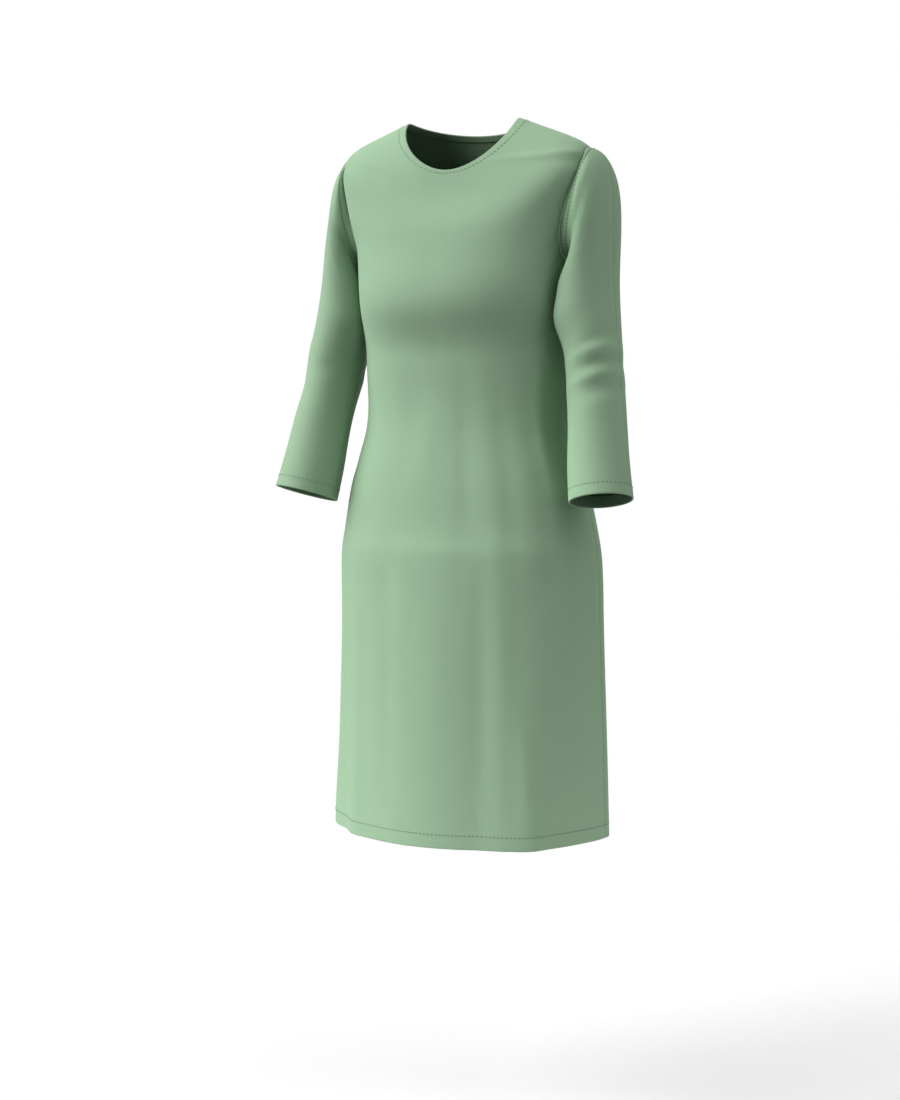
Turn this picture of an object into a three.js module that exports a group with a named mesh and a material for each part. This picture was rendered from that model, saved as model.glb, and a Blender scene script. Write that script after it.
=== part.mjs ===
// A knee-length shift dress with a round neck and three-quarter sleeves, hollow, in the shape it has worn.
// Sizes are in millimetres. +Z is up, the front faces -Y, and +X is the wearer's left.
// The origin is inside the neck opening, on the wearer's upright axis, level with the inner ends of the
// shoulder seams.
//
// The dress is cut as a front, a back and two sleeves, each sleeve in a front and a back half.
// Each cut piece is one wall of cloth: a grid of points on its outer surface, and the same grid moved in.
import * as THREE from "three";

// Cloth and seams
const clothThickness = 1.6;
const seamGap = 0.4; // between the edges of two pieces that are sewn together

// Where the grids are cut, as counts of steps
const panelColumns = 20;
const skirtSteps = 11; // hem to waist
const bodiceSteps = 12; // waist to armpit
const armholeSteps = 10; // armpit to shoulder tip, also the steps round half a sleeve
const shoulderSteps = 3; // shoulder tip to neckline
const sleeveSteps = 24; // armhole to cuff

// Body of the dress, as rings. Those from the hem to the armpit are level.
//   z: height of the ring
//   halfWidth: from the centre to the side; sideY: where the side lies, front to back
//   frontY, backY: where the centre front and the centre back lie
//   squareness: 2 is an ellipse, more is squarer
const levelRings = [
  { z: -957, halfWidth: 191, sideY: 22, frontY: -133, backY: 124, squareness: 2 },
  { z: -770, halfWidth: 188, sideY: 17, frontY: -130, backY: 116, squareness: 2.03 },
  { z: -650, halfWidth: 186, sideY: 12, frontY: -127, backY: 116, squareness: 2.08 },
  { z: -587, halfWidth: 185, sideY: 8, frontY: -124, backY: 111, squareness: 2.1 },
  { z: -510, halfWidth: 174, sideY: 4, frontY: -114, backY: 92, squareness: 2.15 },
  { z: -460, halfWidth: 161, sideY: 2, frontY: -106, backY: 75, squareness: 2.15 },
  { z: -410, halfWidth: 145, sideY: 0, frontY: -99, backY: 66, squareness: 2.15 },
  { z: -340, halfWidth: 142, sideY: -2, frontY: -100, backY: 74, squareness: 2.2 },
  { z: -280, halfWidth: 142, sideY: -3, frontY: -112, backY: 85, squareness: 2.3 },
  { z: -230, halfWidth: 145, sideY: -4, frontY: -126, backY: 92, squareness: 2.35 },
  { z: -190, halfWidth: 149, sideY: -4, frontY: -119.5, backY: 95, squareness: 2.35 },
];

// Rings above the armpit, which drop towards the centre front and back. The last one is the neckline.
//   up: distance from the hem along the cloth, which spaces the rings
//   sideZ, frontZ, backZ: height at the side, the centre front and the centre back
//   dropPower: how a ring drops from its side, 1 for at once and more for later
const yokeRings = [
  { up: 857, halfWidth: 166, sideY: -5, frontY: -103, backY: 93, squareness: 2.3,
    sideZ: -108, frontZ: -143, backZ: -126, dropPower: 2 },
  { up: 937, halfWidth: 174, sideY: -8, frontY: -84, backY: 80, squareness: 2.3,
    sideZ: -41, frontZ: -106, backZ: -74, dropPower: 1.9 },
  { up: 982, halfWidth: 128, sideY: -13, frontY: -77, backY: 66, squareness: 2.3,
    sideZ: -18, frontZ: -88, backZ: -44, dropPower: 1.7 },
  { up: 1027, halfWidth: 80, sideY: -18, frontY: -71, backY: 50, squareness: 2.3,
    sideZ: 0, frontZ: -70, backZ: -14, dropPower: 1.5 },
];

const hemZ = levelRings[0].z;
const waistUp = -410 - hemZ;
const armpitUp = -190 - hemZ;
const shoulderTipUp = 937;
const necklineUp = 1027;
const levelPushBelow = 600; // folds below this push the cloth level
const armholeCutFront = 23.5; // degrees by which the armhole cuts into the front at its deepest
const armholeCutBack = 21.5;
const armholeSquareness = 2.6; // 2 makes it an ellipse, more is squarer

// Soft folds that hang in the skirt. at and width are degrees round the body (0 is the centre front, 90 the
// wearer's left side), depth is how far the cloth stands out at the hem, and start is the height where the
// fold begins.
const skirtFolds = [
  { at: -78, width: 13, depth: 8, start: -560 },
  { at: -72, width: 10, depth: 4, start: -820 },
  { at: -46, width: 9, depth: 2, start: -700 },
  { at: -14, width: 11, depth: 2, start: -600 },
  { at: 20, width: 7, depth: -2.5, start: -430 },
  { at: 30, width: 5, depth: 2.5, start: -400 },
  { at: 42, width: 6, depth: 9, start: -640 },
  { at: 71, width: 12, depth: -5, start: -540 },
  { at: 98, width: 9, depth: 3, start: -580 },
  { at: 122, width: 12, depth: -6, start: -560 },
  { at: 145, width: 8, depth: 5, start: -520 },
  { at: 171, width: 9, depth: -4, start: -560 },
  { at: -158, width: 8, depth: 4.5, start: -540 },
  { at: -122, width: 12, depth: -6, start: -580 },
];

// Soft hollows and ridges round the body: at and width in degrees, up and length along the dress, and depth,
// which is out when it is above 0.
const bodiceFolds = [
  { at: 60, width: 12, up: 890, length: 34, depth: -3 },
  { at: 74, width: 11, up: 905, length: 32, depth: -4.5 },
  { at: -74, width: 10, up: 902, length: 30, depth: -3 },
  { at: -50, width: 16, up: 880, length: 24, depth: -2.5 },
  { at: -6, width: 36, up: 704, length: 17, depth: 3.2 },
  { at: -8, width: 36, up: 655, length: 14, depth: -2.6 },
  { at: 0, width: 60, up: 424, length: 22, depth: -2 },
  { at: 0, width: 60, up: 380, length: 18, depth: 1.5 },
  { at: 150, width: 16, up: 560, length: 24, depth: 3 },
  { at: -150, width: 16, up: 566, length: 24, depth: 3 },
  { at: 165, width: 20, up: 516, length: 20, depth: -2.5 },
  { at: -162, width: 20, up: 520, length: 20, depth: -2.5 },
];

// The left sleeve, as rings from just outside the armhole to the cuff. The right sleeve mirrors it.
//   along: distance down the sleeve, used to space the rings; the armhole itself is at 0
//   overX, overZ: the ring at the overarm seam; underX, underZ: the ring at the underarm seam
//   y: where the middle of the ring lies, front to back; halfDeep: from there to the front of the ring
//   lean: degrees by which the front of the ring is raised
const sleeveRings = [
  { along: 12, overX: 182, overZ: -45, underX: 156, underZ: -196, y: 5, halfDeep: 58, lean: 0 },
  { along: 30, overX: 193, overZ: -58, underX: 158, underZ: -204, y: 7, halfDeep: 63, lean: 0 },
  { along: 58, overX: 202, overZ: -86, underX: 155, underZ: -212, y: 7, halfDeep: 66, lean: 0 },
  { along: 98, overX: 206, overZ: -135, underX: 152, underZ: -226, y: 4, halfDeep: 66, lean: 2 },
  { along: 148, overX: 208, overZ: -195, underX: 150, underZ: -248, y: -2, halfDeep: 63, lean: 4 },
  { along: 212, overX: 216, overZ: -262, underX: 154, underZ: -293, y: -12, halfDeep: 57, lean: 8 },
  { along: 285, overX: 229, overZ: -340, underX: 164, underZ: -358, y: -27, halfDeep: 50, lean: 11 },
  { along: 345, overX: 240, overZ: -400, underX: 169, underZ: -414, y: -42, halfDeep: 46, lean: 13 },
  { along: 390, overX: 248, overZ: -444, underX: 170, underZ: -457, y: -53, halfDeep: 45, lean: 13 },
  { along: 441, overX: 258, overZ: -491.5, underX: 175, underZ: -505.5, y: -64, halfDeep: 45.5, lean: 13 },
];

// Soft folds of the sleeve: at and width in degrees from the overarm seam towards the front, along and length
// down the sleeve. The first three make its inner front full, the others lie across the elbow.
const sleeveFolds = [
  { at: 135, width: 28, along: 125, length: 38, depth: 10.5 },
  { at: 135, width: 28, along: 190, length: 26, depth: 12 },
  { at: 150, width: 35, along: 290, length: 60, depth: 5.5 },
  { at: 50, width: 34, along: 252, length: 14, depth: 1.6 },
  { at: 50, width: 34, along: 303, length: 16, depth: -2 },
  { at: -120, width: 34, along: 272, length: 20, depth: 2 },
];

const cloth = { color: 0x97b696, roughness: 0.85, metalness: 0 };

const radians = Math.PI / 180;

// A natural cubic spline through (knots, values): a function of position along the knots.
function naturalSpline(knots, values) {
  const last = knots.length - 1;
  const bend = new Array(last + 1).fill(0);
  const share = new Array(last + 1).fill(0);
  for (let i = 1; i < last; i++) {
    const before = knots[i] - knots[i - 1];
    const after = knots[i + 1] - knots[i];
    const slopeChange = (values[i + 1] - values[i]) / after - (values[i] - values[i - 1]) / before;
    const pivot = 2 * (before + after) - before * share[i - 1];
    share[i] = after / pivot;
    bend[i] = (6 * slopeChange - before * bend[i - 1]) / pivot;
  }
  for (let i = last - 1; i > 0; i--) bend[i] -= share[i] * bend[i + 1];
  return (at) => {
    let i = 0;
    while (i < last - 1 && at > knots[i + 1]) i++;
    const span = knots[i + 1] - knots[i];
    const right = (at - knots[i]) / span;
    const left = 1 - right;
    const sag = ((left ** 3 - left) * bend[i] + (right ** 3 - right) * bend[i + 1]) * (span * span) / 6;
    return left * values[i] + right * values[i + 1] + sag;
  };
}

// One spline for each named column of a table, over the column that spaces its rows.
function splineTable(rows, spacing) {
  const knots = rows.map((row) => row[spacing]);
  const columns = Object.keys(rows[0]).filter((name) => name !== spacing);
  const splines = columns.map((name) => [name, naturalSpline(knots, rows.map((row) => row[name]))]);
  return (at) => Object.fromEntries(splines.map(([name, spline]) => [name, spline(at)]));
}

const bell = (offset, width) => Math.exp(-0.5 * (offset / width) ** 2);

// The shorter way round from one angle to another, in degrees.
const turnBetween = (from, to) => ((((to - from) % 360) + 540) % 360) - 180;

function smoothStep(from, to, value) {
  const share = Math.min(1, Math.max(0, (value - from) / (to - from)));
  return share * share * (3 - 2 * share);
}

const bodyRings = levelRings.map(({ z, ...ring }) => (
  { ...ring, up: z - hemZ, sideZ: z, frontZ: z, backZ: z, dropPower: 2 }
));
const bodyRingAt = splineTable([...bodyRings, ...yokeRings], "up");

// The body before its folds: angle is in degrees round the body and up is the distance up the dress.
function bodyBase(angle, up) {
  const ring = bodyRingAt(up);
  const sine = Math.sin(angle * radians);
  const cosine = Math.cos(angle * radians);
  const power = ring.squareness;
  const push = (Math.abs(sine) ** power + Math.abs(cosine) ** power) ** (-1 / power);
  const endY = cosine > 0 ? ring.frontY : ring.backY;
  const endZ = cosine > 0 ? ring.frontZ : ring.backZ;
  return new THREE.Vector3(
    ring.halfWidth * sine * push,
    ring.sideY + (endY - ring.sideY) * Math.abs(cosine) * push,
    ring.sideZ + (endZ - ring.sideZ) * Math.abs(cosine) ** ring.dropPower,
  );
}

// How far the folds move the cloth out of the plain body.
function bodyFoldHeight(angle, up, height) {
  let moved = 0;
  for (const fold of skirtFolds) {
    const grown = smoothStep(fold.start, hemZ, height);
    moved += fold.depth * grown * bell(turnBetween(fold.at, angle), fold.width);
  }
  for (const fold of bodiceFolds) {
    moved += fold.depth * bell(turnBetween(fold.at, angle), fold.width) * bell(up - fold.up, fold.length);
  }
  return moved;
}

// The outward direction of a surface point(first, second), from small steps to each side.
function outward(point, first, second, firstStep, secondStep) {
  const across = point(first + firstStep, second).sub(point(first - firstStep, second));
  const up = point(first, second + secondStep).sub(point(first, second - secondStep));
  return across.cross(up).normalize();
}

// The finished body surface. Low on the dress the push lies level, so that folds don't lift the hem.
function bodyPoint(angle, up) {
  const base = bodyBase(angle, up);
  const away = outward(bodyBase, angle, up, 0.5, 1);
  away.z *= smoothStep(levelPushBelow, armpitUp, up);
  return base.addScaledVector(away.normalize(), bodyFoldHeight(angle, up, base.z));
}

// Rows up a panel: even steps to the waist and on to the armpit, then steps that crowd at both ends of the
// armhole, then the shoulder.
function panelRows() {
  const rows = [];
  for (let i = 0; i < skirtSteps; i++) rows.push((waistUp * i) / skirtSteps);
  for (let i = 0; i <= bodiceSteps; i++) rows.push(waistUp + ((armpitUp - waistUp) * i) / bodiceSteps);
  for (let i = 1; i <= armholeSteps; i++) rows.push(armholeUp(180 - (180 * i) / armholeSteps));
  const shoulderLength = necklineUp - shoulderTipUp;
  for (let i = 1; i <= shoulderSteps; i++) rows.push(shoulderTipUp + (shoulderLength * i) / shoulderSteps);
  return rows;
}

// The armhole by the angle round the sleeve: 0 is the shoulder tip and 180 the armpit.
function armholeUp(sleeveAngle) {
  const share = (1 + Math.cos(sleeveAngle * radians)) / 2;
  return armpitUp + (shoulderTipUp - armpitUp) * share;
}

// The angle at which a half of the body ends at the side: the side seam, the armhole or the shoulder seam.
function sideLimit(up, cut) {
  const share = (up - armpitUp) / (shoulderTipUp - armpitUp);
  if (share <= 0 || share >= 1) return 90;
  return 90 - cut * (1 - Math.abs(2 * share - 1) ** armholeSquareness) ** (1 / armholeSquareness);
}

// A closed wall from a grid of outer points and the matching inner points, grid[row][column].
function wallGeometry(outer, inner) {
  const rows = outer.length;
  const columns = outer[0].length;
  const positions = [];
  for (const point of [...outer.flat(), ...inner.flat()]) positions.push(point.x, point.y, point.z);
  const innerStart = rows * columns;
  const at = (row, column) => row * columns + column;
  const faces = [];
  const quad = (a, b, c, d) => faces.push(a, b, c, a, c, d);
  for (let r = 0; r < rows - 1; r++) {
    for (let c = 0; c < columns - 1; c++) {
      const [low, lowNext, highNext, high] = [at(r, c), at(r, c + 1), at(r + 1, c + 1), at(r + 1, c)];
      quad(low, lowNext, highNext, high);
      quad(...[low, high, highNext, lowNext].map((corner) => corner + innerStart));
    }
  }
  const rim = [];
  for (let c = 0; c < columns - 1; c++) rim.push(at(0, c));
  for (let r = 0; r < rows - 1; r++) rim.push(at(r, columns - 1));
  for (let c = columns - 1; c > 0; c--) rim.push(at(rows - 1, c));
  for (let r = rows - 1; r > 0; r--) rim.push(at(r, 0));
  rim.forEach((corner, i) => {
    const next = rim[(i + 1) % rim.length];
    quad(next, corner, corner + innerStart, next + innerStart);
  });
  const geometry = new THREE.BufferGeometry();
  geometry.setAttribute("position", new THREE.Float32BufferAttribute(positions, 3));
  geometry.setIndex(faces);
  geometry.computeVertexNormals();
  return geometry;
}

function clothMesh(name, geometry) {
  const mesh = new THREE.Mesh(geometry, new THREE.MeshStandardMaterial(cloth));
  mesh.name = name;
  return mesh;
}

// The front (middle angle 0) or the back (middle angle 180) of the dress. Where the armhole cuts in, only the
// columns near it move.
function bodyPanel(name, middle, cut) {
  const outer = [];
  const inner = [];
  for (const up of panelRows()) {
    const limit = sideLimit(up, cut);
    const edge = bodyPoint(middle + limit, up);
    const degreeLength = edge.distanceTo(bodyPoint(middle + limit - 1, up));
    const halfSpan = limit - seamGap / 2 / degreeLength;
    const outerRow = [];
    const innerRow = [];
    for (let c = 0; c <= panelColumns; c++) {
      const share = (2 * c) / panelColumns - 1;
      const angle = middle + share * (90 - (90 - halfSpan) * share * share);
      const point = bodyPoint(angle, up);
      const away = outward(bodyPoint, angle, up, 0.5, 1);
      outerRow.push(point);
      innerRow.push(point.clone().addScaledVector(away, -clothThickness));
    }
    outer.push(outerRow);
    inner.push(innerRow);
  }
  return clothMesh(name, wallGeometry(outer, inner));
}

// Where a sleeve ring lies at an angle round the sleeve: 0 is the overarm seam, 90 the front and 180 the
// underarm seam.
function sleeveRingPoint(ring, angle) {
  const lean = ring.lean * radians;
  const over = new THREE.Vector3(ring.overX, ring.y, ring.overZ);
  const under = new THREE.Vector3(ring.underX, ring.y, ring.underZ);
  const deep = new THREE.Vector3(0, -Math.cos(lean), Math.sin(lean));
  return over
    .lerp(under, (1 - Math.cos(angle * radians)) / 2)
    .addScaledVector(deep, ring.halfDeep * Math.sin(angle * radians));
}

// The seam line of the armhole, on the body's own surface. The right armhole comes mirrored, as its sleeve is.
function armholePoint(angle, mirrored) {
  const up = armholeUp(angle);
  const onFront = Math.sin(angle * radians) >= 0;
  const limit = sideLimit(up, onFront ? armholeCutFront : armholeCutBack);
  const around = onFront ? limit : 180 - limit;
  const point = bodyPoint(mirrored ? -around : around, up);
  if (mirrored) point.x = -point.x;
  return point;
}

// The surface of the left sleeve, or of the right one mirrored, as a function of the angle round the sleeve and
// the distance along it. Before its folds it is a spline down each line of the sleeve.
function sleeveSurface(mirrored) {
  const lines = new Map();
  const base = (angle, along) => {
    const key = angle.toFixed(3);
    if (!lines.has(key)) {
      const points = [armholePoint(angle, mirrored), ...sleeveRings.map((ring) => sleeveRingPoint(ring, angle))];
      const knots = [0, ...sleeveRings.map((ring) => ring.along)];
      lines.set(key, ["x", "y", "z"].map((axis) => naturalSpline(knots, points.map((p) => p[axis]))));
    }
    return new THREE.Vector3(...lines.get(key).map((spline) => spline(along)));
  };
  return (angle, along) => {
    let moved = 0;
    for (const fold of sleeveFolds) {
      const across = bell(turnBetween(fold.at, angle), fold.width);
      moved += fold.depth * across * bell(along - fold.along, fold.length);
    }
    const away = outward(base, angle, along, -1, 1).negate();
    return base(angle, along).addScaledVector(away, moved);
  };
}

// Half of a sleeve, on the front (side 1) or the back (side -1) of its overarm seam. Rows are closer together
// near the armhole.
function sleeveHalf(name, side, mirrored) {
  const sleevePoint = sleeveSurface(mirrored);
  const cuffAlong = sleeveRings[sleeveRings.length - 1].along;
  const outer = [];
  const inner = [];
  for (let r = 0; r <= sleeveSteps; r++) {
    const share = r / sleeveSteps;
    const along = seamGap + (cuffAlong - seamGap) * share * (1 + share) / 2;
    const outerRow = [];
    const innerRow = [];
    for (let c = 0; c <= armholeSteps; c++) {
      const plain = (180 * c) / armholeSteps;
      const before = sleevePoint(side * (plain - 0.5), along);
      const after = sleevePoint(side * (plain + 0.5), along);
      const inset = seamGap / 2 / before.distanceTo(after);
      const angle = side * Math.min(180 - inset, Math.max(inset, plain));
      const point = sleevePoint(angle, along);
      const away = outward(sleevePoint, angle, along, -1, 1).negate();
      outerRow.push(point);
      innerRow.push(point.clone().addScaledVector(away, -clothThickness));
    }
    outer.push(outerRow);
    inner.push(innerRow);
  }
  const flip = (grid) => grid.map((row) => row.map((p) => new THREE.Vector3(-p.x, p.y, p.z)));
  const reverse = (grid) => grid.map((row) => [...row].reverse());
  const grids = [outer, inner].map((grid) => (mirrored ? flip(grid) : grid));
  const facesOut = (side > 0) !== mirrored;
  return clothMesh(name, wallGeometry(...grids.map((grid) => (facesOut ? grid : reverse(grid)))));
}

const dress = new THREE.Group();
dress.add(bodyPanel("front", 0, armholeCutFront));
dress.add(bodyPanel("back", 180, armholeCutBack));
for (const [sideName, mirrored] of [["left", false], ["right", true]]) {
  dress.add(sleeveHalf(`sleeve_${sideName}_front`, 1, mirrored));
  dress.add(sleeveHalf(`sleeve_${sideName}_back`, -1, mirrored));
}

export default dress;
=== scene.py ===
import math

import bpy
import numpy as np
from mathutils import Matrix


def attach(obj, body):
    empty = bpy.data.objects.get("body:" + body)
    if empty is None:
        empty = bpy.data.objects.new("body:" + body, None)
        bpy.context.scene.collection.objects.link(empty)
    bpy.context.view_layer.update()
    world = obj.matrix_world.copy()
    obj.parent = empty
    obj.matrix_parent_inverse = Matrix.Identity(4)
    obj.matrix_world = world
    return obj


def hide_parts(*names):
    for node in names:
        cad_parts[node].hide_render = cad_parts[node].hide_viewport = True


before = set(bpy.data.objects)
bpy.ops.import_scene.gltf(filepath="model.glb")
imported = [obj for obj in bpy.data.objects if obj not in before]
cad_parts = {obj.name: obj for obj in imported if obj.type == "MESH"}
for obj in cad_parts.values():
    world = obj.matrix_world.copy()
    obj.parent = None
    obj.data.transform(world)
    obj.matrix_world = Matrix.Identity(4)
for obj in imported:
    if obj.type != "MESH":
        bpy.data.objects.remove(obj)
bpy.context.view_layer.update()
print("frame loaded")

# Metres, with +Z up, the front facing -Y and +X the wearer's left. Angles round the body are in degrees: 0
# is the centre front, 90 the wearer's left side and 180 the centre back. Round a sleeve 0 is the overarm
# seam, 90 the front and 180 the underarm seam. up is the distance from the hem along the cloth, along the
# distance from the armhole down the sleeve.
mm = 0.001
cloth = {
    "thickness": 1.2 * mm,
    "seamGap": 0.2 * mm,  # between the rounded edges of two pieces that are sewn together
    "edgeSteps": 4,  # round the edge of a piece
    "turningFade": 0.5 * mm,  # to each side of the line where a turned-in edge ends
    "seamDip": 0.6 * mm,  # how far the cloth sinks towards a seam
    "seamDipWidth": 2.2 * mm,
    "stitchDip": 0.03 * mm,
    "stitchDipWidth": 1.0 * mm,
    "armholeDip": 0.9 * mm,
    "armholeDipWidth": 1.1 * mm,
    "thinning": 0.5,  # the share of a dip that the wall loses in thickness
}
# How wide the turned-in edges are, and how far the sewing lines are from the edges
turnings = {"hem": 20 * mm, "neck": 12 * mm, "cuff": 17 * mm}
stitchLines = {"hem": 18.5 * mm, "neck": 10.5 * mm, "cuff": 15.5 * mm, "armhole": 8 * mm}
# The bell of a crease is as wide as its length over the first of these lengthwise, and as its width times
# the second crosswise.
creaseSpread = {"length": 3.2, "width": 0.75}
# Steps for the slopes of surfaces: three in degrees and one in metres
probe = {"body": 0.5, "cloth": 0.3, "sleeve": 1, "along": mm}
mirrors = {"left": np.array([1, 1, 1]), "right": np.array([-1, 1, 1])}


def naturalSpline(knots, values):
    # Natural cubic spline through values at the knots: second slopes solve the usual three-term equations,
    # and each stretch is the blend of its two ends plus a cubic sag. values may have any shape after its
    # first axis.
    knots = np.asarray(knots, float)
    values = np.asarray(values, float)
    gaps = np.diff(knots)
    count = len(knots)
    system = np.eye(count)
    for i in range(1, count - 1):
        system[i, i - 1:i + 2] = gaps[i - 1], 2 * (gaps[i - 1] + gaps[i]), gaps[i]
    slopes = np.diff(values, axis=0) / gaps.reshape((-1,) + (1,) * (values.ndim - 1))
    right = np.zeros_like(values)
    right[1:-1] = 6 * np.diff(slopes, axis=0)
    bends = np.linalg.solve(system, right.reshape(count, -1)).reshape(values.shape)

    def at(where):
        where = np.asarray(where, float)
        i = np.clip(np.searchsorted(knots, where) - 1, 0, count - 2)
        span = gaps[i]
        high = (where - knots[i]) / span
        extra = (1,) * (values.ndim - 1)
        high, span = high.reshape(high.shape + extra), span.reshape(span.shape + extra)
        low = 1 - high
        sag = ((low ** 3 - low) * bends[i] + (high ** 3 - high) * bends[i + 1]) * span ** 2 / 6
        return low * values[i] + high * values[i + 1] + sag

    return at


def splineTable(names, spacing, rows):
    # One spline for each named column of a table, over the column that spaces its rows.
    columns = {name: np.array([row[k] for row in rows], float) for k, name in enumerate(names)}
    others = [name for name in names if name != spacing]
    return {name: naturalSpline(columns[spacing], columns[name]) for name in others}


def bell(offset, width):
    # e to the power of minus half the square of offset over width.
    return np.exp(-0.5 * (offset / width) ** 2)


def turnBetween(start, end):
    # The turn from start to end, from -180 to 180 degrees.
    return (end - start + 180) % 360 - 180


def smoothStep(low, high, value):
    # 0 up to low and 1 from high on, with three squares less two cubes of the share between them.
    share = np.clip((value - low) / (high - low), 0, 1)
    return share * share * (3 - 2 * share)


def unit(vectors):
    # Each vector divided by its length.
    return vectors / np.maximum(np.linalg.norm(vectors, axis=-1, keepdims=True), 1e-12)


def outward(point, first, second, firstStep, secondStep):
    # Outward direction of the surface point(first, second): the cross product of its two central differences.
    across = point(first + firstStep, second) - point(first - firstStep, second)
    upward = point(first, second + secondStep) - point(first, second - secondStep)
    return unit(np.cross(across, upward))


def creaseHeight(creases, angle, distance, degreeLength):
    # Soft troughs and ridges. Each is a long bell turned by its tilt: along its length it fades slowly,
    # across it quickly. Its middle is at (at, place), and offsets become mm before the tilt.
    height = np.zeros(np.broadcast(angle, distance).shape)
    for at, place, length, width, tilt, depth in creases:
        sideways = turnBetween(at, angle) * degreeLength
        upwards = distance / mm - place
        slant = math.radians(tilt)
        lengthwise = sideways * math.cos(slant) + upwards * math.sin(slant)
        crosswise = upwards * math.cos(slant) - sideways * math.sin(slant)
        lengthBell = bell(lengthwise, length / creaseSpread["length"])
        height += depth * mm * lengthBell * bell(crosswise, width * creaseSpread["width"])
    return height


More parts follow.
